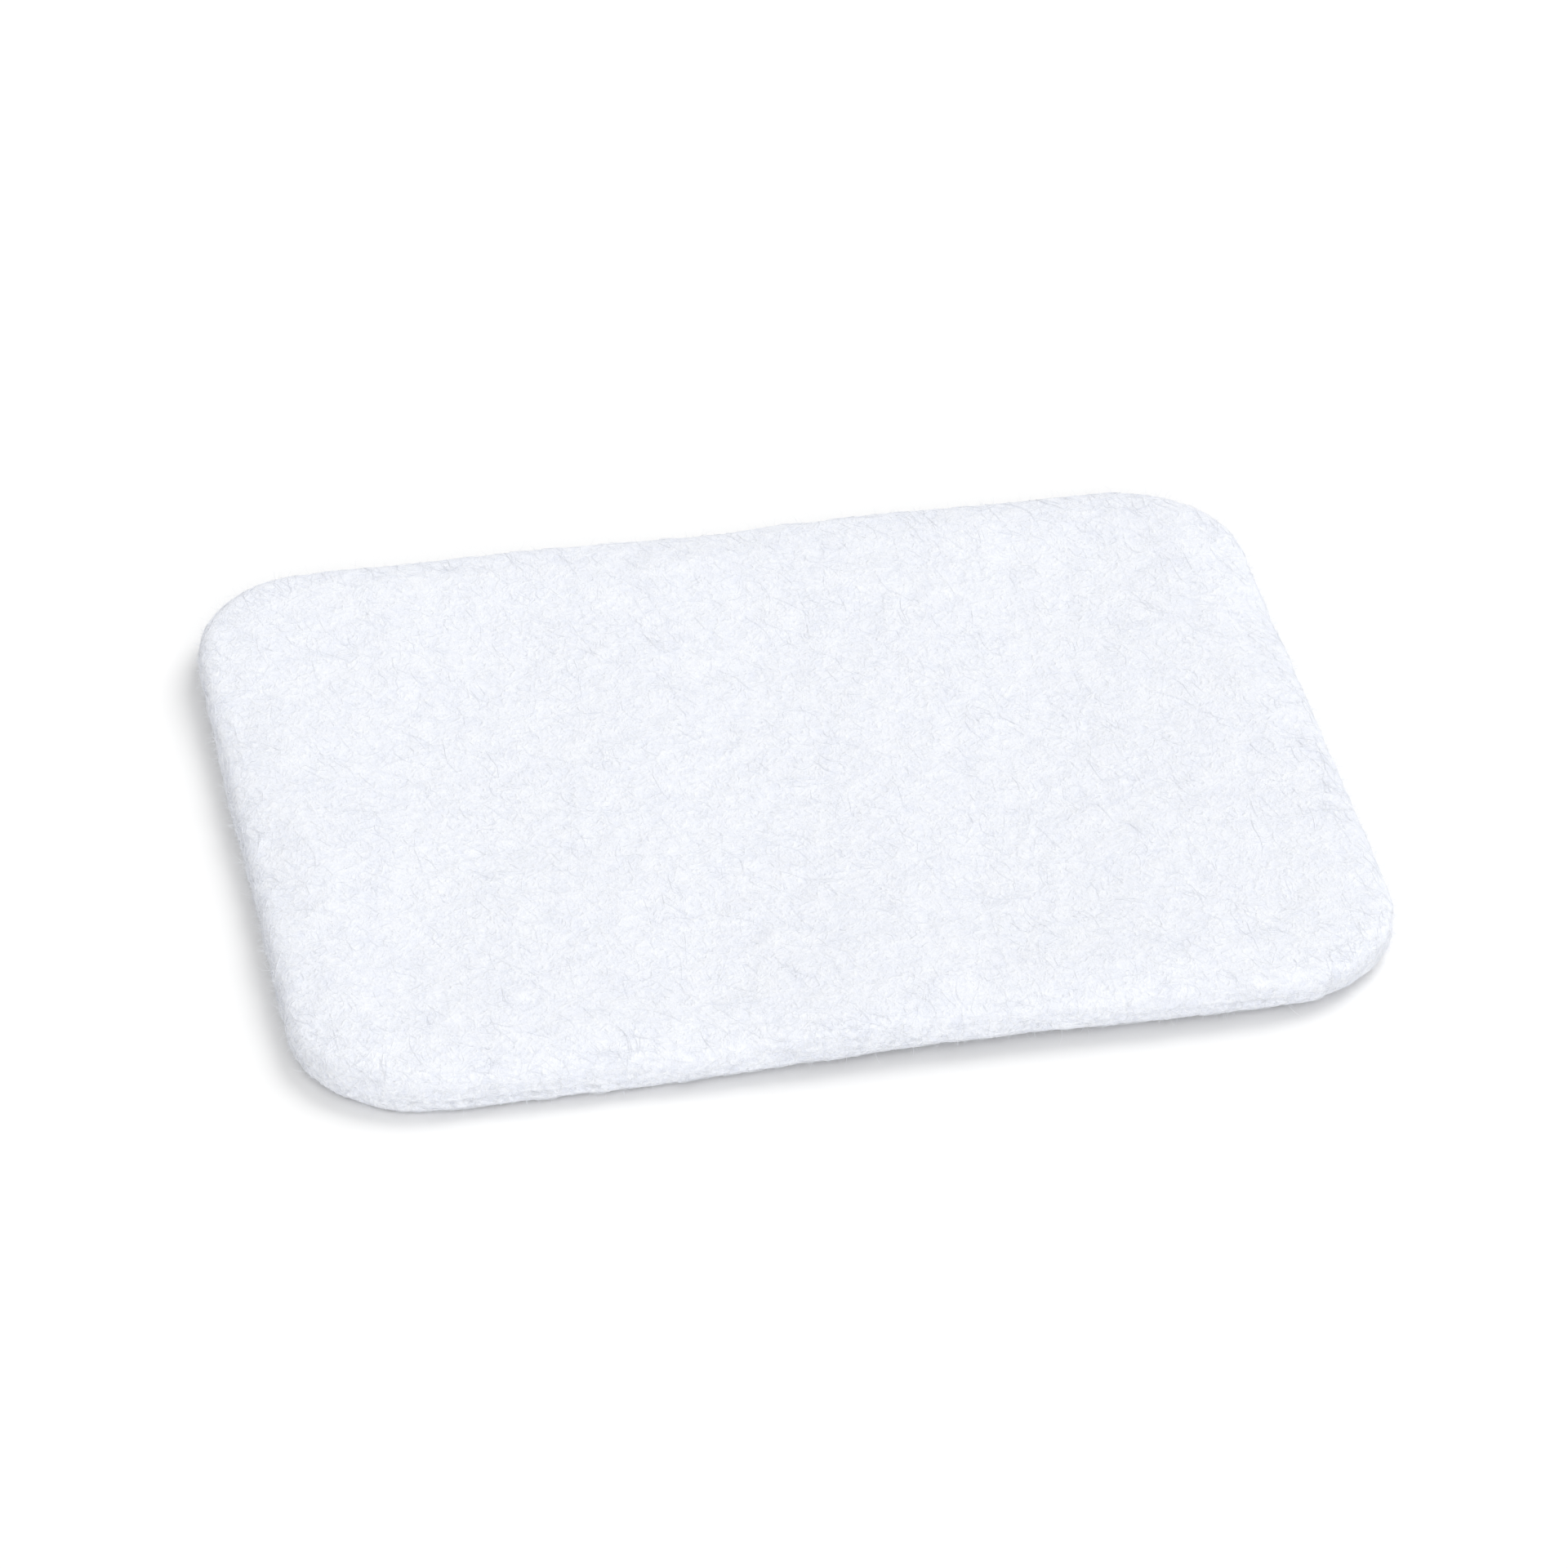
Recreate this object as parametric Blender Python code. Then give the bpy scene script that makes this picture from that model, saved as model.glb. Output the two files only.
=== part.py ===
"""A cotton pad for skin care, lying on a flat surface.

The pad is one piece: carded cotton, pressed into a thick soft web and cut out with a
rounded rectangular die. The die pinches the rim, so both faces round over to a soft cut
edge, and the two halves of the web part there in a shallow crease. The face is slightly
uneven, and the rim curls up a little from the surface, as on a pad that was stacked.

Units are metres, +Z is up and the origin is on the surface under the pad's middle.
"""

import math

import bmesh
import bpy
from mathutils import Vector

# The die's outline
LENGTH = 0.100
WIDTH = 0.080
CORNER_RADIUS = 0.0123

# The pressed web
THICKNESS = 0.0037
LOFT_WAVE = 0.00022
LOFT_WAVE_LENGTH = 0.034

# The rim, pinched by the die
RIM_THICKNESS = 0.0031
PINCH_REACH = 0.0060
UPPER_ROUND = 0.0017
LOWER_ROUND = 0.0010
RIM_WAVE = 0.00014
RIM_WAVES = 11

# The cut edge, a narrow upright band with the crease along its middle
CUT_HEIGHT = 0.0012
CUT_FOOT = 0.0008
CREASE_DEPTH = 0.00045
CREASE_WANDER = 0.00016
CREASE_WAVES = 7

# The curl of the rim, which leaves the middle of the underside flat
CURL_HEIGHT = 0.0012
CURL_REACH = 0.026
CURL_BEARING = math.radians(128)

# The mesh: cells along the cut edge, drawn closer together towards the rim
CELL = 0.0021
CROWDING = 3.3

COTTON_COLOUR = (0.880, 0.900, 0.955, 1.0)
COTTON_ROUGHNESS = 0.95


def even_cells(distance):
    """An even number of cells of about CELL along a distance."""
    return 2 * max(2, round(distance / (2 * CELL)))


def ring_inset(ring, rings):
    """How far a ring of the mesh lies inside the die's outline."""
    share = math.expm1(CROWDING * ring / rings) / math.expm1(CROWDING)
    return 0.5 * min(LENGTH, WIDTH) * share


def along_side(share, half_run, half_depth, radius):
    """(along, out) at a share of the way from the middle of one corner to the next."""
    half_straight = half_run - radius
    half_path = half_straight + radius * math.pi / 4
    way = (2 * share - 1) * half_path
    if abs(way) <= half_straight:
        return way, half_depth
    turn = (abs(way) - half_straight) / radius
    along = half_straight + radius * math.sin(turn)
    return math.copysign(along, way), half_depth - radius * (1 - math.cos(turn))


def place_in_plan(column, row, columns, rows):
    """(x, y, inset) of a grid point: each ring of the grid is an offset of the outline."""
    ring = min(column, row, columns - column, rows - row)
    inset = ring_inset(ring, min(columns, rows) // 2)
    half_length = LENGTH / 2 - inset
    half_width = WIDTH / 2 - inset
    radius = max(CORNER_RADIUS - inset, 0.0)
    if row in (ring, rows - ring):
        share = (column - ring) / max(columns - 2 * ring, 1)
        x, out = along_side(share, half_length, half_width, radius)
        return x, (-out if row == ring else out), inset
    share = (row - ring) / max(rows - 2 * ring, 1)
    y, out = along_side(share, half_width, half_length, radius)
    return (-out if column == ring else out), y, inset


def smooth_step(share):
    """0 to 1 with level ends."""
    share = min(max(share, 0.0), 1.0)
    return share * share * (3 - 2 * share)


def bearing(x, y):
    """The direction of a point from the pad's middle, with the sides made equal."""
    return math.atan2(y / WIDTH, x / LENGTH)


def curl(x, y, inset):
    """How far the pad has risen from the surface, nothing in its flat middle."""
    around = bearing(x, y)
    share = 0.5 + 0.3 * math.cos(2 * (around - CURL_BEARING)) + 0.2 * math.cos(5 * around + 1)
    near_edge = max(1 - inset / CURL_REACH, 0.0)
    return CURL_HEIGHT * share * near_edge * near_edge


def loft(x, y, inset):
    """The web's thickness: pinched at the rim, uneven over the face."""
    around = bearing(x, y)
    rim = RIM_THICKNESS + RIM_WAVE * math.sin(RIM_WAVES * around)
    turn = 2 * math.pi / LOFT_WAVE_LENGTH
    swell = math.sin(turn * (x + 0.4 * y)) * math.cos(turn * (0.8 * y - 0.3 * x) + 1)
    middle = THICKNESS + LOFT_WAVE * swell
    return rim + (middle - rim) * smooth_step(inset / PINCH_REACH)


def round_over(inset, reach):
    """0 at the cut edge to 1 where the rounding ends, along a quarter of an ellipse."""
    left = max(1 - inset / reach, 0.0)
    return math.sqrt(1 - left * left)


def upper_height(x, y, inset):
    """The height of the upper face."""
    cut_top = CUT_FOOT + CUT_HEIGHT
    face = loft(x, y, inset)
    rise = cut_top + (face - cut_top) * round_over(inset, UPPER_ROUND)
    return curl(x, y, inset) + rise


def lower_height(x, y, inset):
    """The height of the underside."""
    return curl(x, y, inset) + CUT_FOOT * (1 - round_over(inset, LOWER_ROUND))


def lay_face(bm, height):
    """One face of the pad as a grid inside the outline. Returns its points."""
    columns = even_cells(LENGTH)
    rows = even_cells(WIDTH)
    grid = bmesh.ops.create_grid(bm, x_segments=columns, y_segments=rows, size=0.5)
    for vert in grid["verts"]:
        column = round((vert.co.x + 0.5) * columns)
        row = round((vert.co.y + 0.5) * rows)
        x, y, inset = place_in_plan(column, row, columns, rows)
        vert.co = (x, y, height(x, y, inset))
    return grid["verts"]


def outward(x, y):
    """The level direction straight out through the cut edge at a point of it."""
    core_x = LENGTH / 2 - CORNER_RADIUS
    core_y = WIDTH / 2 - CORNER_RADIUS
    nearest = Vector((max(-core_x, min(x, core_x)), max(-core_y, min(y, core_y)), 0))
    return (Vector((x, y, 0)) - nearest).normalized()


def close_cut_edge(bm):
    """The upright band between the two faces, with the crease pressed into it."""
    open_edges = [edge for edge in bm.edges if edge.is_boundary]
    band = bmesh.ops.bridge_loops(bm, edges=open_edges)
    halved = bmesh.ops.subdivide_edges(bm, edges=band["edges"], cuts=1)
    crease = [item for item in halved["geom_inner"] if isinstance(item, bmesh.types.BMVert)]
    for vert in crease:
        around = bearing(vert.co.x, vert.co.y)
        depth = CREASE_DEPTH * (0.6 + 0.4 * math.sin(4 * around + 0.7))
        vert.co -= depth * outward(vert.co.x, vert.co.y)
        vert.co.z += CREASE_WANDER * math.sin(CREASE_WAVES * around)


def cotton():
    """Bleached cotton: a cool soft white with no shine."""
    material = bpy.data.materials.new("cotton")
    material.use_nodes = True
    shader = material.node_tree.nodes["Principled BSDF"]
    shader.inputs["Base Color"].default_value = COTTON_COLOUR
    shader.inputs["Roughness"].default_value = COTTON_ROUGHNESS
    shader.inputs["Metallic"].default_value = 0.0
    return material


def make_pad():
    """The whole pad as one closed body."""
    bm = bmesh.new()
    lay_face(bm, upper_height)
    underside = lay_face(bm, lower_height)
    under_faces = {face for vert in underside for face in vert.link_faces}
    bmesh.ops.reverse_faces(bm, faces=list(under_faces))
    close_cut_edge(bm)
    bmesh.ops.recalc_face_normals(bm, faces=bm.faces)
    mesh = bpy.data.meshes.new("pad")
    bm.to_mesh(mesh)
    bm.free()
    mesh.shade_smooth()
    mesh.materials.append(cotton())
    pad = bpy.data.objects.new("pad", mesh)
    bpy.context.scene.collection.objects.link(pad)
    return pad


for old in list(bpy.data.objects):
    bpy.data.objects.remove(old)
make_pad()
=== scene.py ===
"""A cotton pad for skin care: the finish of its one soft piece, on a plain pale stage."""

import math
import random

import bmesh
import bpy
from mathutils import Matrix, Vector, noise
from mathutils.bvhtree import BVHTree


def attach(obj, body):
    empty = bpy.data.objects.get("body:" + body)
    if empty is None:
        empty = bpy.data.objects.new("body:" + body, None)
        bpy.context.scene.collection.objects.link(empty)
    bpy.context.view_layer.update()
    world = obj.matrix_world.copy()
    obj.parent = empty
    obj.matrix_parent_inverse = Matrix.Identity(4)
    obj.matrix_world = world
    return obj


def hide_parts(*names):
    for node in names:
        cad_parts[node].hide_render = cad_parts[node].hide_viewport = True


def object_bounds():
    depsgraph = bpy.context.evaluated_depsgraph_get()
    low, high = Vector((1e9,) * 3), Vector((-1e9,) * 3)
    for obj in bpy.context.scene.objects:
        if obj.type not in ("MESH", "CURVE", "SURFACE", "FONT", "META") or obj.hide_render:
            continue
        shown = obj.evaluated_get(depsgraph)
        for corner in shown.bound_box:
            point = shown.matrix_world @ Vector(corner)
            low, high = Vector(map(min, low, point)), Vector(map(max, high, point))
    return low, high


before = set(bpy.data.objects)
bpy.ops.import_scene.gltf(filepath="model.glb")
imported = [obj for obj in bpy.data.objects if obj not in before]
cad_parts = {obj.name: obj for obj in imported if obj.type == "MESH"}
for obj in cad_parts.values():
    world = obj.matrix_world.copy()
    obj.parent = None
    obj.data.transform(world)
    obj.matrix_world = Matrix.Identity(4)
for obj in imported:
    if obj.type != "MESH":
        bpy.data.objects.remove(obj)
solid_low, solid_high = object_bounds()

# The pressed web, which is the pad itself: bleached cotton, carded to a fleece, laid up in
# plies, pressed flat and cut out with a die. It has no seam. Its faces show the clouds of the
# fleece, and the cut edge shows the plies, parted in a shallow crease.

# The solid's loose triangles are joined and made into even cells, which are halved where the
# surface is less level than RIM_LEVEL. Pulls even the cells out, and a last one softens the relief.
JOIN_DISTANCE = 0.000001
WEB_CELL = 0.00047
EVENING_ROUNDS = 4
EVENING_PULL = 0.5
RIM_LEVEL = 0.8
LAST_PULL = 0.4

# The relief of the faces: soft clouds, ridged clumps and small tufts. CLUMP_SEED fixes how the
# clumps bend, which would otherwise be drawn anew at each run.
CLOUD_SPAN = 0.0090
CLOUD_LAYERS = 3
CLOUD_FADING = 1.0
CLOUD_NARROWING = 2.0
CLOUD_RELIEF = 0.00012
CLUMP_SPAN = 0.0030
CLUMP_BEND = 0.0012
CLUMP_MIDDLE = 0.15
CLUMP_RELIEF = 0.00022
CLUMP_SEED = 7
TUFT_SPAN = 0.0013
TUFT_RELIEF = 0.00005

# The relief of the cut edge: its wavering outline, ragged fibres, flat locks and curls
OUTLINE_SPAN = 0.027
OUTLINE_RELIEF = 0.00040
RAGGED_SPAN = 0.0034
RAGGED_RELIEF = 0.00015
LOCK_RUN = 0.0017
LOCK_STEP = 0.00055
LOCK_RELIEF = 0.00009
CURL_SPAN = 0.00080
CURL_RELIEF = 0.00009

# The lines between the plies: where each lies in the thickness and how broad it is there, as
# shares of the thickness, and how deep it is. They wander and fade along the edge, each in its
# own way, and end where the surface is more level than PLY_LEVEL.
PLIES = (
    {"middle": 0.45, "breadth": 0.075, "depth": 0.00014},
    {"middle": 0.22, "breadth": 0.060, "depth": 0.00009},
    {"middle": 0.70, "breadth": 0.060, "depth": 0.00010},
)
PLY_WANDER = 0.07
PLY_WANDER_RUN = 0.011
PLY_STRENGTH = 0.65
PLY_FADING = 0.9
PLY_FADING_RUN = 0.0065
PLY_APART = 0.05
PLY_LEVEL = 0.7

# How far inside the cut edge the thickness is measured, the least that counts there, and how
# far over and under the surface the measuring starts
INSIDE_RIM = 0.0016
LEAST_RIM = 0.001
CLEAR_OF_WEB = 0.02

# The underside, which is drawn in so that its relief and its loose strands clear the surface
UNDER_LIFT = 0.00016
REST_HEIGHT = 0.00010


def linked(name, data):
    """A new object of the scene at the origin."""
    piece = bpy.data.objects.new(name, data)
    bpy.context.scene.collection.objects.link(piece)
    return piece


def finished_mesh(piece):
    """The mesh that an object shows, as plain data with its modifiers applied."""
    shown = piece.evaluated_get(bpy.context.evaluated_depsgraph_get())
    return bpy.data.meshes.new_from_object(shown)


def pull_together(bm, verts, share):
    """Moves points by a share of the way towards the middle of their neighbours."""
    bmesh.ops.smooth_vert(bm, verts=verts, factor=share,
                          use_axis_x=True, use_axis_y=True, use_axis_z=True)
    bm.normal_update()


def merged_copy(node):
    """A node's mesh as an object of its own, with its loose triangles joined."""
    bm = bmesh.new()
    bm.from_mesh(node.data)
    bmesh.ops.remove_doubles(bm, verts=bm.verts, dist=JOIN_DISTANCE)
    mesh = bpy.data.meshes.new(node.name + "_merged")
    bm.to_mesh(mesh)
    bm.free()
    return linked(mesh.name, mesh)


def even_web(node):
    """A bmesh of the pad's shape in even cells, twice as fine round the cut edge."""
    rough = merged_copy(node)
    even = rough.modifiers.new("even", "REMESH")
    even.mode = "VOXEL"
    even.voxel_size = WEB_CELL
    bm = bmesh.new()
    bm.from_mesh(finished_mesh(rough))
    bpy.data.objects.remove(rough)
    for _ in range(EVENING_ROUNDS):
        pull_together(bm, bm.verts, EVENING_PULL)
    rim = [edge for edge in bm.edges
           if all(abs(vert.normal.z) < RIM_LEVEL for vert in edge.verts)]
    bmesh.ops.subdivide_edges(bm, edges=rim, cuts=1, use_grid_fill=True)
    bm.normal_update()
    pull_together(bm, [vert for vert in bm.verts if abs(vert.normal.z) < RIM_LEVEL], EVENING_PULL)
    return bm


def face_height(surface, place, upper):
    """The height of the upper or the under face, straight over or under a place."""
    start = Vector((place.x, place.y, CLEAR_OF_WEB if upper else -CLEAR_OF_WEB))
    hit = surface.ray_cast(start, Vector((0, 0, -1 if upper else 1)))[0]
    return hit.z if hit else place.z


def ply_relief(surface, place, facing):
    """How deep the lines between the plies are pressed into the cut edge at a place."""
    inside = place - Vector((facing.x, facing.y, 0)).normalized() * INSIDE_RIM
    low = face_height(surface, inside, False)
    high = face_height(surface, inside, True)
    share = (place.z - low) / max(high - low, LEAST_RIM)
    relief = 0
    for number, ply in enumerate(PLIES):
        along = Vector((place.x, place.y, PLY_APART * number))
        middle = ply["middle"] + PLY_WANDER * noise.noise(along / PLY_WANDER_RUN)
        strength = PLY_STRENGTH + PLY_FADING * noise.noise(along / PLY_FADING_RUN)
        nearness = math.exp(-((share - middle) / ply["breadth"]) ** 2)
        relief += ply["depth"] * max(strength, 0) * nearness
    return relief


def face_relief(place):
    """How far the cotton stands out from a pressed face."""
    cloud = noise.fractal(place / CLOUD_SPAN, CLOUD_FADING, CLOUD_NARROWING, CLOUD_LAYERS)
    bent_place = place + CLUMP_BEND * noise.noise_vector(place / CLUMP_SPAN)
    clump = CLUMP_MIDDLE - abs(noise.noise(bent_place / CLUMP_SPAN))
    tuft = noise.noise(place / TUFT_SPAN)
    return CLOUD_RELIEF * cloud + CLUMP_RELIEF * clump + TUFT_RELIEF * tuft


def edge_relief(place):
    """How far the ragged fibres stand out from the cut edge."""
    outline = noise.noise(Vector((place.x, place.y, 0)) / OUTLINE_SPAN)
    ragged = noise.noise(place / RAGGED_SPAN)
    lock = noise.noise(Vector((place.x / LOCK_RUN, place.y / LOCK_RUN, place.z / LOCK_STEP)))
    curl = noise.noise(place / CURL_SPAN)
    coarse = OUTLINE_RELIEF * outline + RAGGED_RELIEF * ragged
    return coarse + LOCK_RELIEF * lock + CURL_RELIEF * curl


def relief_at(surface, vert):
    """Where a point of the even web goes to take on the relief of the cotton."""
    levelness = vert.normal.z ** 2
    out = face_relief(vert.co) * levelness + edge_relief(vert.co) * (1 - levelness)
    if levelness < PLY_LEVEL:
        out -= ply_relief(surface, vert.co, vert.normal) * (1 - levelness)
    lift = UNDER_LIFT * max(-vert.normal.z, 0)
    return vert.co + vert.normal * out + Vector((0, 0, lift))


def pressed_web(node):
    """The mesh of the pad with the relief of its faces and its cut edge."""
    bm = even_web(node)
    surface = BVHTree.FromBMesh(bm)
    places = [relief_at(surface, vert) for vert in bm.verts]
    for vert, place in zip(bm.verts, places):
        vert.co = place
    pull_together(bm, bm.verts, LAST_PULL)
    for vert in bm.verts:
        vert.co.z = max(vert.co.z, REST_HEIGHT)
    mesh = bpy.data.meshes.new("cotton_web")
    bm.to_mesh(mesh)
    bm.free()
    mesh.shade_smooth()
    return mesh


noise.seed_set(CLUMP_SEED)
web = linked("cotton_web", pressed_web(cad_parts["pad"]))

# The felt that the material draws: layers of fibre lying four ways, each with its own turn
# and offset, and curls with no one way, each with its fineness per metre and its share. The
# lines lie where a noise crosses its middle, and the bends are how finely and how far they wander.
NOISE_MIDDLE = 0.5
LAYS = ((0.2, 3.0), (1.0, 11.0), (1.75, 29.0), (2.5, 41.0))
LAY_SHARE = 0.18
LAY_ALONG = 270.0
LAY_ACROSS = 2400.0
LAY_SHARPNESS = 7.0
LAY_DETAIL = 1.5
LAY_BEND = (260.0, 0.0028)
CURLS = ((1500.0, 0.28), (2850.0, 0.13), (750.0, 0.34))
CURL_SHARPNESS = 8.0
CURL_BEND = (900.0, 0.0009)

# The soft clouds under those fibres
FELT_CLOUD_FINENESS = 330.0
FELT_CLOUD_DETAIL = 4.0
FELT_CLOUD_ROUGHNESS = 0.6

# The felt's middle height, its reach to each side of that, its depth and its strength, and how
# much looser it is on the cut edge than on the faces, which also deepens the painted shade there
FELT_MIDDLE = 1.2
FELT_REACH = 0.6
FELT_DEPTH = 0.00014
FELT_STRENGTH = 0.7
FACE_LEVELNESS = 0.9
EDGE_LEVELNESS = 0.4
EDGE_LOOSENESS = 1.5

# Its colour and its roughness on the crests, which the press has smoothed, and deep down. The
# darker colour deep down is painted shade between the fibres, with some of the fleece's own
# uneven density
COTTON_LIGHT = (0.935, 0.950, 0.985, 1.0)
COTTON_SHADED_DEEP = (0.825, 0.850, 0.925, 1.0)
CREST_ROUGHNESS = 0.88
DEEP_ROUGHNESS = 1.0

# Its faint gloss and sheen
WEB_GLOSS = 0.15
WEB_SHEEN = 0.10
WEB_SHEEN_ROUGHNESS = 0.55


def new_finish(name):
    """A new material, its node tree and its shader."""
    material = bpy.data.materials.new(name)
    material.use_nodes = True
    return material, material.node_tree, material.node_tree.nodes["Principled BSDF"]


def math_node(tree, operation, *values):
    """A Math node on sockets or numbers. Returns its output."""
    node = tree.nodes.new("ShaderNodeMath")
    node.operation = operation
    for socket, value in zip(node.inputs, values):
        if isinstance(value, bpy.types.NodeSocket):
            tree.links.new(value, socket)
        else:
            socket.default_value = value
    return node.outputs[0]


def noise_node(tree, place, fineness, detail=1.0, roughness=0.5):
    """A Noise Texture node at a place."""
    node = tree.nodes.new("ShaderNodeTexNoise")
    node.inputs["Scale"].default_value = fineness
    node.inputs["Detail"].default_value = detail
    node.inputs["Roughness"].default_value = roughness
    tree.links.new(place, node.inputs["Vector"])
    return node


def crest_lines(tree, pattern, sharpness):
    """Thin lines where a noise crosses its middle, from 0 beside them to 1 on top."""
    distance = math_node(tree, "ABSOLUTE", math_node(tree, "SUBTRACT", pattern, NOISE_MIDDLE))
    falling = math_node(tree, "MULTIPLY", distance, sharpness)
    return math_node(tree, "MAXIMUM", math_node(tree, "SUBTRACT", 1.0, falling), 0.0)


def ranged(tree, value, first, last, low=0.0, high=1.0):
    """A value spread evenly from low, where it is first, to high, where it is last."""
    node = tree.nodes.new("ShaderNodeMapRange")
    node.inputs["From Min"].default_value = first
    node.inputs["From Max"].default_value = last
    node.inputs["To Min"].default_value = low
    node.inputs["To Max"].default_value = high
    tree.links.new(value, node.inputs["Value"])
    return node.outputs["Result"]


def blended(tree, share, first, second):
    """A colour from first at a share of 0 to second at 1. Returns its output."""
    node = tree.nodes.new("ShaderNodeMix")
    node.data_type = "RGBA"
    node.inputs["A"].default_value = first
    node.inputs["B"].default_value = second
    tree.links.new(share, node.inputs["Factor"])
    return node.outputs["Result"]


def fibre_lay():
    """Node group: fine strands of fibre that lie one way, in lines of crests."""
    group = bpy.data.node_groups.new("fibre_lay", "ShaderNodeTree")
    group.interface.new_socket("Vector", in_out="INPUT", socket_type="NodeSocketVector")
    for label in ("Turn", "Offset", "Fineness Along", "Fineness Across"):
        group.interface.new_socket(label, in_out="INPUT", socket_type="NodeSocketFloat")
    group.interface.new_socket("Height", in_out="OUTPUT", socket_type="NodeSocketFloat")
    start = group.nodes.new("NodeGroupInput")
    end = group.nodes.new("NodeGroupOutput")
    turned = group.nodes.new("ShaderNodeVectorRotate")
    turned.rotation_type = "Z_AXIS"
    group.links.new(start.outputs["Vector"], turned.inputs["Vector"])
    group.links.new(start.outputs["Turn"], turned.inputs["Angle"])
    fineness = group.nodes.new("ShaderNodeCombineXYZ")
    group.links.new(start.outputs["Fineness Along"], fineness.inputs["X"])
    group.links.new(start.outputs["Fineness Across"], fineness.inputs["Y"])
    group.links.new(start.outputs["Fineness Across"], fineness.inputs["Z"])
    shift = group.nodes.new("ShaderNodeCombineXYZ")
    group.links.new(start.outputs["Offset"], shift.inputs["X"])
    stretched = group.nodes.new("ShaderNodeVectorMath")
    stretched.operation = "MULTIPLY_ADD"
    for socket, node in zip(stretched.inputs, (turned, fineness, shift)):
        group.links.new(node.outputs["Vector"], socket)
    streaks = noise_node(group, stretched.outputs["Vector"], 1.0, detail=LAY_DETAIL)
    height = crest_lines(group, streaks.outputs["Fac"], LAY_SHARPNESS)
    group.links.new(height, end.inputs["Height"])
    return group


def bent(tree, place, fineness, reach):
    """A place moved about by up to reach, so that the lines drawn through it wander."""
    wander = noise_node(tree, place, fineness)
    node = tree.nodes.new("ShaderNodeVectorMath")
    node.operation = "MULTIPLY_ADD"
    tree.links.new(wander.outputs["Color"], node.inputs[0])
    node.inputs[1].default_value = (reach, reach, reach)
    tree.links.new(place, node.inputs[2])
    return node.outputs["Vector"]


def felt_height(tree, place):
    """The height of a pressed web's felt: fibres lying four ways, curls and soft clouds."""
    clouds = noise_node(tree, place, FELT_CLOUD_FINENESS, FELT_CLOUD_DETAIL, FELT_CLOUD_ROUGHNESS)
    total = clouds.outputs["Fac"]
    lay = fibre_lay()
    lay_place = bent(tree, place, *LAY_BEND)
    for turn, offset in LAYS:
        layer = tree.nodes.new("ShaderNodeGroup")
        layer.node_tree = lay
        tree.links.new(lay_place, layer.inputs["Vector"])
        layer.inputs["Turn"].default_value = turn
        layer.inputs["Offset"].default_value = offset
        layer.inputs["Fineness Along"].default_value = LAY_ALONG
        layer.inputs["Fineness Across"].default_value = LAY_ACROSS
        total = math_node(tree, "MULTIPLY_ADD", layer.outputs["Height"], LAY_SHARE, total)
    curl_place = bent(tree, place, *CURL_BEND)
    for fineness, share in CURLS:
        curls = noise_node(tree, curl_place, fineness).outputs["Fac"]
        lines = crest_lines(tree, curls, CURL_SHARPNESS)
        total = math_node(tree, "MULTIPLY_ADD", lines, share, total)
    return total


def edge_looseness(tree):
    """1 on the level faces, rising to EDGE_LOOSENESS on the upright cut edge."""
    facing = tree.nodes.new("ShaderNodeSeparateXYZ")
    tree.links.new(tree.nodes.new("ShaderNodeNewGeometry").outputs["Normal"], facing.inputs[0])
    levelness = math_node(tree, "ABSOLUTE", facing.outputs["Z"])
    return ranged(tree, levelness, FACE_LEVELNESS, EDGE_LEVELNESS, 1.0, EDGE_LOOSENESS)


def web_cotton():
    """Pressed bleached cotton: cool white, matt, with curls of fibre and soft clouds, its colour
    darkened in the felt's hollows as painted shade.
    """
    material, tree, shader = new_finish("web_cotton")
    shader.inputs["Specular IOR Level"].default_value = WEB_GLOSS
    shader.inputs["Sheen Weight"].default_value = WEB_SHEEN
    shader.inputs["Sheen Roughness"].default_value = WEB_SHEEN_ROUGHNESS
    place = tree.nodes.new("ShaderNodeTexCoord").outputs["Object"]
    centred = math_node(tree, "SUBTRACT", felt_height(tree, place), FELT_MIDDLE)
    height = math_node(tree, "MULTIPLY", centred, edge_looseness(tree))
    bump = tree.nodes.new("ShaderNodeBump")
    bump.inputs["Strength"].default_value = FELT_STRENGTH
    bump.inputs["Distance"].default_value = FELT_DEPTH
    tree.links.new(height, bump.inputs["Height"])
    tree.links.new(bump.outputs["Normal"], shader.inputs["Normal"])
    roughness = ranged(tree, height, -FELT_REACH, FELT_REACH, DEEP_ROUGHNESS, CREST_ROUGHNESS)
    tree.links.new(roughness, shader.inputs["Roughness"])
    # The colour follows the felt's height: darker in its hollows, as painted shade between the
    # fibres.
    painted_shade = ranged(tree, height, -FELT_REACH, FELT_REACH)
    colour = blended(tree, painted_shade, COTTON_SHADED_DEEP, COTTON_LIGHT)
    tree.links.new(colour, shader.inputs["Base Color"])
    return material


web.data.materials.append(web_cotton())
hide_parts("pad")
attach(web, "root")


# Loose strands all over the web: single fibres and thin locks that the press hasn't bound. They
# lie on it in curls, with their ends caught in it. Each is drawn as a thin curve with a bevel,
# along the surface of the web, and made a mesh.
UPPER_STRANDS = 3700
UNDER_STRANDS = 2000
EDGE_STRANDS = 3600
STRAND_SEED = 11

# Their radius, and the shares of it that the thinnest, the thickest and a tip have
FACE_STRAND_RADIUS = 0.000020
EDGE_STRAND_RADIUS = 0.000022
STRAND_THINNEST = 0.6
STRAND_THICKEST = 1.4
STRAND_TIP = 0.35

# Their length, and how much each turns from point to point
STRAND_SHORTEST = 0.0020
STRAND_LONGEST = 0.0090
STRAND_POINTS = 7
STRAND_CURL = 0.5
STRAND_WAVER = 0.3

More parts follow.
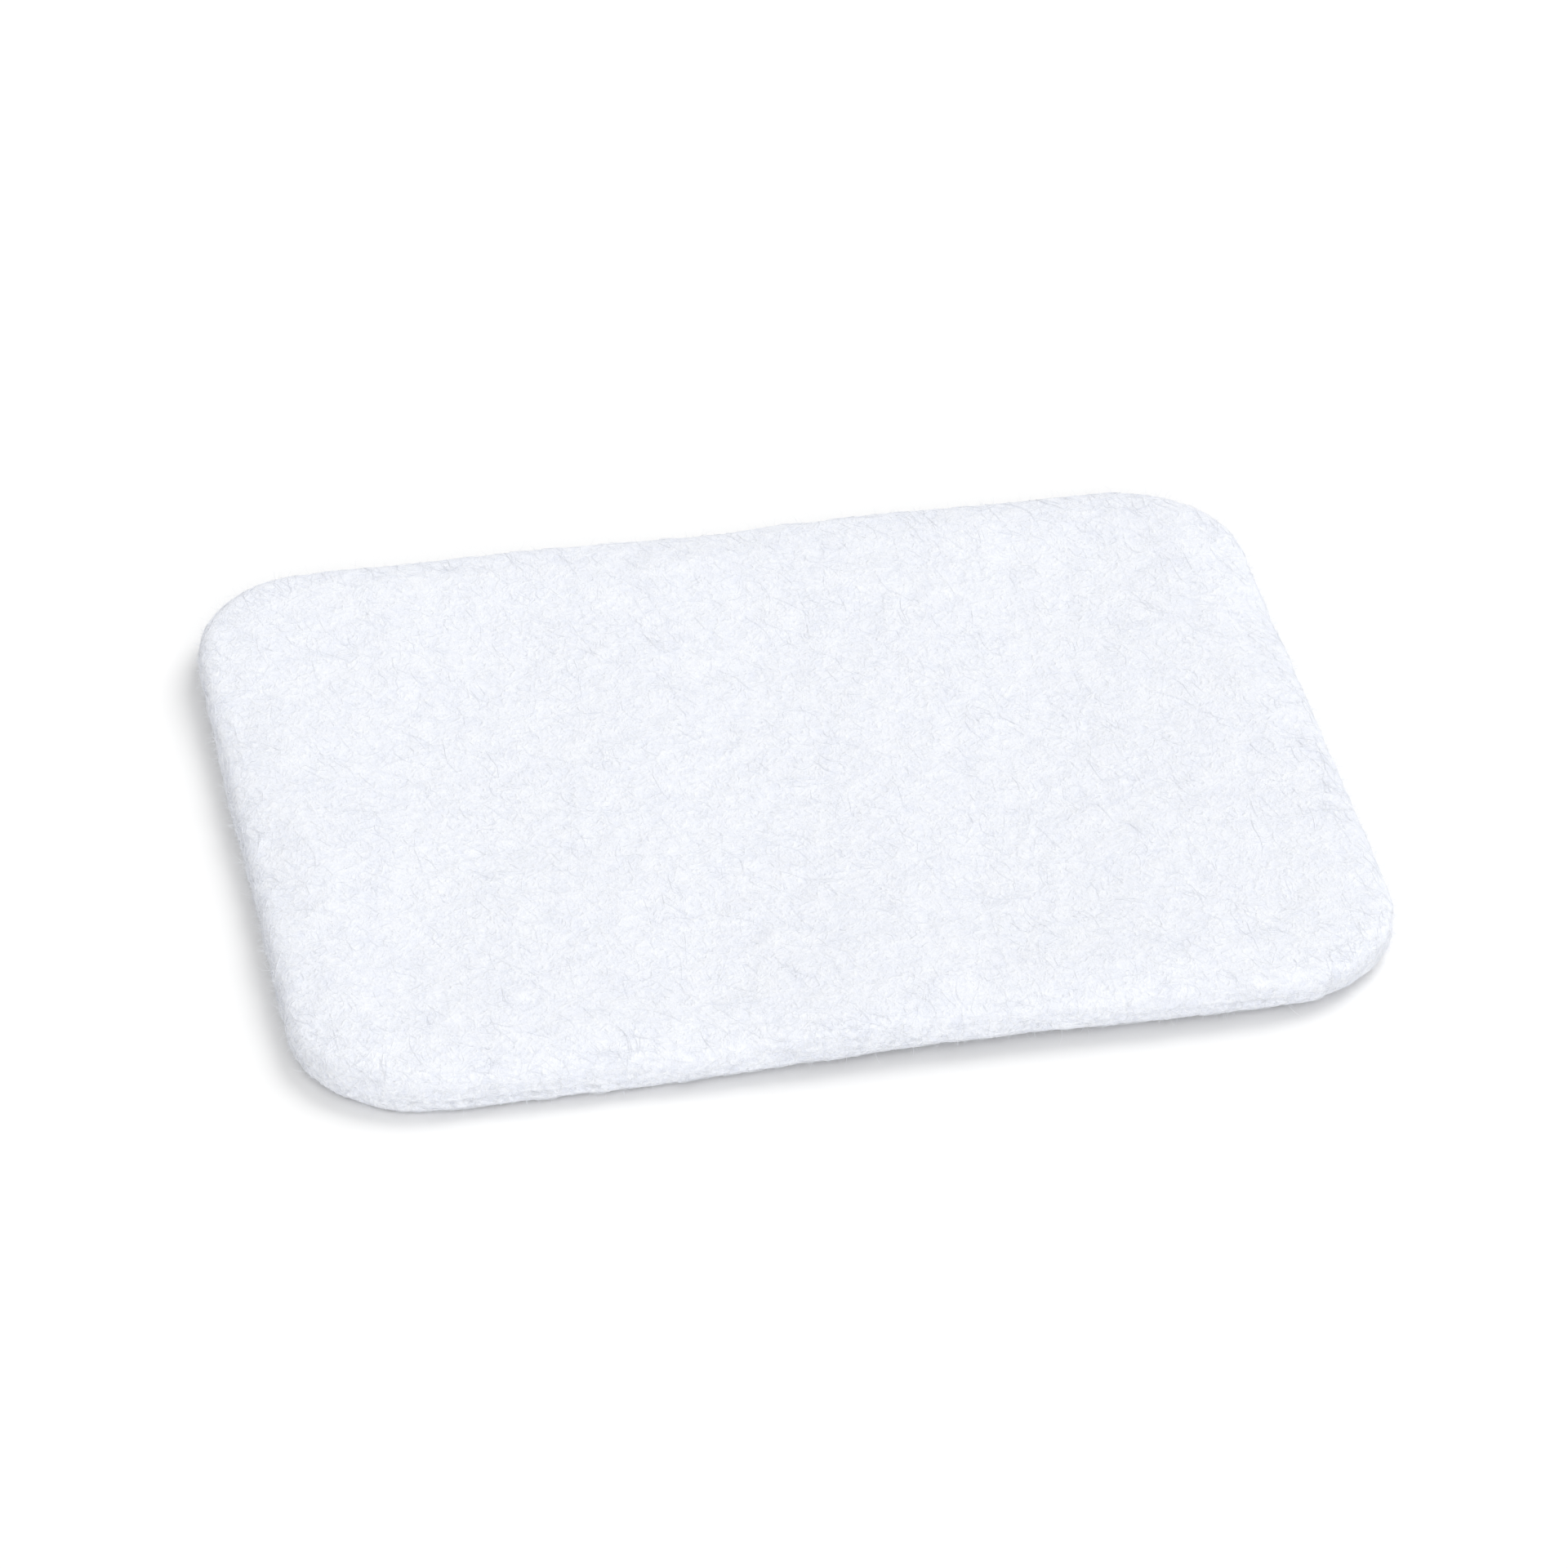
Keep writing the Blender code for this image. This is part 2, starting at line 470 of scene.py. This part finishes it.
# How far they stand out of the web at most, how deep their ends lie in it, and how far they
# stay above the surface that the pad lies on
FACE_STRAND_RISE = 0.00007
EDGE_STRAND_RISE = 0.00012
STRAND_SINK = 0.00005
FLOOR_CLEARANCE = 0.00003

# How level a cell of the faces is at least, and how level one of the cut edge is at most
FACE_LEVEL = 0.80
EDGE_LEVEL = 0.60

# Their white, which varies in patches, and their gloss
FIBRE_LIGHT = (0.950, 0.960, 0.985, 1.0)
FIBRE_DEEP = (0.890, 0.910, 0.960, 1.0)
FIBRE_FINENESS = 900.0
FIBRE_DETAIL = 2.0
FIBRE_ROUGHNESS = 0.6
FIBRE_GLOSS = 0.3
FIBRE_SHEEN = 0.1

web_surface = BVHTree.FromObject(web, bpy.context.evaluated_depsgraph_get())
upper_cells = [cell for cell in web.data.polygons if cell.normal.z > FACE_LEVEL]
under_cells = [cell for cell in web.data.polygons if cell.normal.z < -FACE_LEVEL]
edge_cells = [cell for cell in web.data.polygons if abs(cell.normal.z) < EDGE_LEVEL]


def strand_curve(name):
    """An empty curve for strands, square in section, with each point's radius in metres."""
    curve = bpy.data.curves.new(name, "CURVE")
    curve.dimensions = "3D"
    curve.bevel_depth = 1.0
    curve.bevel_resolution = 0
    curve.use_fill_caps = True
    return curve


def add_strand(curve, places, radius):
    """One strand through places, which thins to its ends."""
    last = len(places) - 1
    spline = curve.splines.new("POLY")
    spline.points.add(last)
    for index, place in enumerate(places):
        fullness = STRAND_TIP + (1 - STRAND_TIP) * math.sin(math.pi * index / last)
        height = max(place.z, FLOOR_CLEARANCE)
        spline.points[index].co = (place.x, place.y, height, 1.0)
        spline.points[index].radius = radius * fullness


def any_way(chance):
    """A direction in space with no leaning."""
    return Vector((chance.gauss(0, 1), chance.gauss(0, 1), chance.gauss(0, 1))).normalized()


def lay_strand(chance, cell, most_rise):
    """The points of one strand that starts on a cell of the web and follows its surface."""
    spot = cell.center.copy()
    facing = cell.normal.copy()
    heading = facing.cross(any_way(chance)).normalized()
    curl = chance.gauss(0, STRAND_CURL)
    step = chance.uniform(STRAND_SHORTEST, STRAND_LONGEST) / (STRAND_POINTS - 1)
    rise = most_rise * chance.random()
    places = []
    for index in range(STRAND_POINTS):
        arch = math.sin(math.pi * index / (STRAND_POINTS - 1))
        places.append(spot + facing * ((STRAND_SINK + rise) * arch - STRAND_SINK))
        turn = Matrix.Rotation(curl + chance.gauss(0, STRAND_WAVER), 3, facing)
        heading = turn @ heading
        spot, facing, _, _ = web_surface.find_nearest(spot + heading * step)
        heading = (heading - facing * heading.dot(facing)).normalized()
    return places


def as_mesh_piece(name, curve, material):
    """The curve as a mesh piece of the cotton, riding with the pad."""
    drawn = linked(name + "_drawn", curve)
    piece = linked(name, finished_mesh(drawn))
    bpy.data.objects.remove(drawn)
    piece.data.materials.clear()
    piece.data.materials.append(material)
    piece.data.shade_smooth()
    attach(piece, "root")


def fibre_cotton():
    """Single cotton fibres: the web's own white, with a faint silky gloss."""
    material, tree, shader = new_finish("fibre_cotton")
    shader.inputs["Roughness"].default_value = FIBRE_ROUGHNESS
    shader.inputs["Specular IOR Level"].default_value = FIBRE_GLOSS
    shader.inputs["Sheen Weight"].default_value = FIBRE_SHEEN
    place = tree.nodes.new("ShaderNodeTexCoord").outputs["Object"]
    patches = noise_node(tree, place, FIBRE_FINENESS, FIBRE_DETAIL)
    colour = blended(tree, patches.outputs["Fac"], FIBRE_DEEP, FIBRE_LIGHT)
    tree.links.new(colour, shader.inputs["Base Color"])
    return material


def lay_strands(name, cells, count, radius, rise):
    """Strands over some cells of the web, as one piece."""
    chance = random.Random(STRAND_SEED + count)
    curve = strand_curve(name)
    for _ in range(count):
        places = lay_strand(chance, chance.choice(cells), rise)
        add_strand(curve, places, radius * chance.uniform(STRAND_THINNEST, STRAND_THICKEST))
    as_mesh_piece(name, curve, FIBRE)


FIBRE = fibre_cotton()
lay_strands("upper_strands", upper_cells, UPPER_STRANDS, FACE_STRAND_RADIUS, FACE_STRAND_RISE)
lay_strands("under_strands", under_cells, UNDER_STRANDS, FACE_STRAND_RADIUS, FACE_STRAND_RISE)
lay_strands("edge_strands", edge_cells, EDGE_STRANDS, EDGE_STRAND_RADIUS, EDGE_STRAND_RISE)


# The fuzz at the cut edge and the nap on the upper face: short ends of fibre that the die has
# cut or the press has left standing. Each is rooted in the web, leans out of it at random and
# bends aside, by half a millimetre or so at the edge and less on the face.
EDGE_HAIRS = 5000
EDGE_HAIR_SHORTEST = 0.0003
EDGE_HAIR_SPREAD = 0.00035
EDGE_HAIR_LONGEST = 0.0018
NAP_HAIRS = 4000
NAP_HAIR_SHORTEST = 0.0002
NAP_HAIR_SPREAD = 0.00020
NAP_HAIR_LONGEST = 0.0010
HAIR_RADIUS = 0.000011
HAIR_POINTS = 4
HAIR_ROOT = 0.0002
HAIR_LEAN = 0.9
HAIR_BEND = 0.5
HAIR_SEED = 23


def stand_hair(chance, cell, length):
    """The points of one hair, from inside the web out of a cell and bending aside."""
    heading = (cell.normal + HAIR_LEAN * any_way(chance)).normalized()
    bend = HAIR_BEND * any_way(chance)
    step = length / (HAIR_POINTS - 2)
    places = [cell.center - cell.normal * HAIR_ROOT]
    place = cell.center.copy()
    while len(places) < HAIR_POINTS:
        places.append(place.copy())
        place += heading * step
        heading = (heading + bend).normalized()
    return places


def raise_hairs(name, cells, count, shortest, spread, longest):
    """Hairs over some cells of the web, as one piece."""
    chance = random.Random(HAIR_SEED + count)
    curve = strand_curve(name)
    for _ in range(count):
        length = min(shortest + chance.expovariate(1 / spread), longest)
        add_strand(curve, stand_hair(chance, chance.choice(cells), length), HAIR_RADIUS)
    as_mesh_piece(name, curve, FIBRE)


raise_hairs("edge_fuzz", edge_cells, EDGE_HAIRS,
            EDGE_HAIR_SHORTEST, EDGE_HAIR_SPREAD, EDGE_HAIR_LONGEST)
raise_hairs("upper_nap", upper_cells, NAP_HAIRS,
            NAP_HAIR_SHORTEST, NAP_HAIR_SPREAD, NAP_HAIR_LONGEST)


# The stage: a sheet of matt white paper, far wider than the view. It keeps the pad's soft
# shadow, and throws back on the pad a little less light than it shows.
FLOOR_SIZE = 6.0
FLOOR_SHOWN = (1.0, 1.0, 1.0, 1.0)
FLOOR_BOUNCE = (0.88, 0.88, 0.88, 1.0)

floor_bm = bmesh.new()
bmesh.ops.create_grid(floor_bm, x_segments=1, y_segments=1, size=FLOOR_SIZE / 2)
floor_mesh = bpy.data.meshes.new("floor")
floor_bm.to_mesh(floor_mesh)
floor_bm.free()
floor = linked("floor", floor_mesh)


def seen_directly(tree):
    """1 for the rays that show a surface to the camera, also in gloss or through glass."""
    path = tree.nodes.new("ShaderNodeLightPath")
    shown = math_node(tree, "MAXIMUM", path.outputs["Is Camera Ray"], path.outputs["Is Glossy Ray"])
    return math_node(tree, "MAXIMUM", shown, path.outputs["Is Transmission Ray"])


def floor_paper():
    """Matt white paper."""
    material, tree, shader = new_finish("floor_paper")
    shader.inputs["Roughness"].default_value = 1.0
    shader.inputs["Specular IOR Level"].default_value = 0.0
    colour = blended(tree, seen_directly(tree), FLOOR_BOUNCE, FLOOR_SHOWN)
    tree.links.new(colour, shader.inputs["Base Color"])
    return material


floor.data.materials.append(floor_paper())


# The light: an even white surround, a broad lamp high on the right behind the pad, so that the
# shadow falls softly to the left and the front, and a still broader one, about as strong, that
# fills the front from lower down.
SURROUND_STRENGTH = 0.50
LAMP_STRENGTH = 1.48
LAMP_ANGLE = math.radians(42)
LAMP_FROM = Vector((0.60, 0.42, 0.80))
FILL_STRENGTH = 1.50
FILL_ANGLE = math.radians(70)
FILL_FROM = Vector((-0.10, -0.90, 0.42))

world = bpy.data.worlds.new("surround")
bpy.context.scene.world = world
world.use_nodes = True
surround = world.node_tree.nodes["Background"]
surround.inputs["Color"].default_value = (1.0, 1.0, 1.0, 1.0)
brightness = world.node_tree.nodes.new("ShaderNodeMix")
brightness.inputs["A"].default_value = SURROUND_STRENGTH
brightness.inputs["B"].default_value = 1.0
world.node_tree.links.new(seen_directly(world.node_tree), brightness.inputs["Factor"])
world.node_tree.links.new(brightness.outputs["Result"], surround.inputs["Strength"])


def broad_lamp(name, strength, angle, source):
    """A far lamp of a given breadth that shines from a direction."""
    lamp_data = bpy.data.lights.new(name, "SUN")
    lamp_data.energy = strength
    lamp_data.angle = angle
    lamp = linked(name, lamp_data)
    lamp.rotation_mode = "QUATERNION"
    lamp.rotation_quaternion = source.to_track_quat("Z", "Y")


broad_lamp("lamp", LAMP_STRENGTH, LAMP_ANGLE, LAMP_FROM)
broad_lamp("fill", FILL_STRENGTH, FILL_ANGLE, FILL_FROM)


# The camera: the photograph's long lens, which looks down on the pad from the front and a
# little from the left, and is aimed at the middle of the pad's solid. The lens and the sensor
# are given in millimetres.
CAMERA_AZIMUTH = math.radians(-11)
CAMERA_ELEVATION = math.radians(36)
CAMERA_LENS = 200
CAMERA_SENSOR = 36
CAMERA_NEAREST = 0.01
CAMERA_FURTHEST = 20.0
VIEW_WIDTH = 0.143

camera_data = bpy.data.cameras.new("camera")
camera_data.lens = CAMERA_LENS
camera_data.sensor_width = CAMERA_SENSOR
camera_data.clip_start = CAMERA_NEAREST
camera_data.clip_end = CAMERA_FURTHEST
camera = linked("camera", camera_data)
level = math.cos(CAMERA_ELEVATION)
back = Vector((math.sin(CAMERA_AZIMUTH) * level, -math.cos(CAMERA_AZIMUTH) * level,
               math.sin(CAMERA_ELEVATION)))
middle = (solid_low + solid_high) / 2
camera.location = middle + back * (VIEW_WIDTH * CAMERA_LENS / CAMERA_SENSOR)
camera.rotation_mode = "QUATERNION"
camera.rotation_quaternion = back.to_track_quat("Z", "Y")
bpy.context.scene.camera = camera
bpy.context.scene.view_settings.view_transform = "Standard"
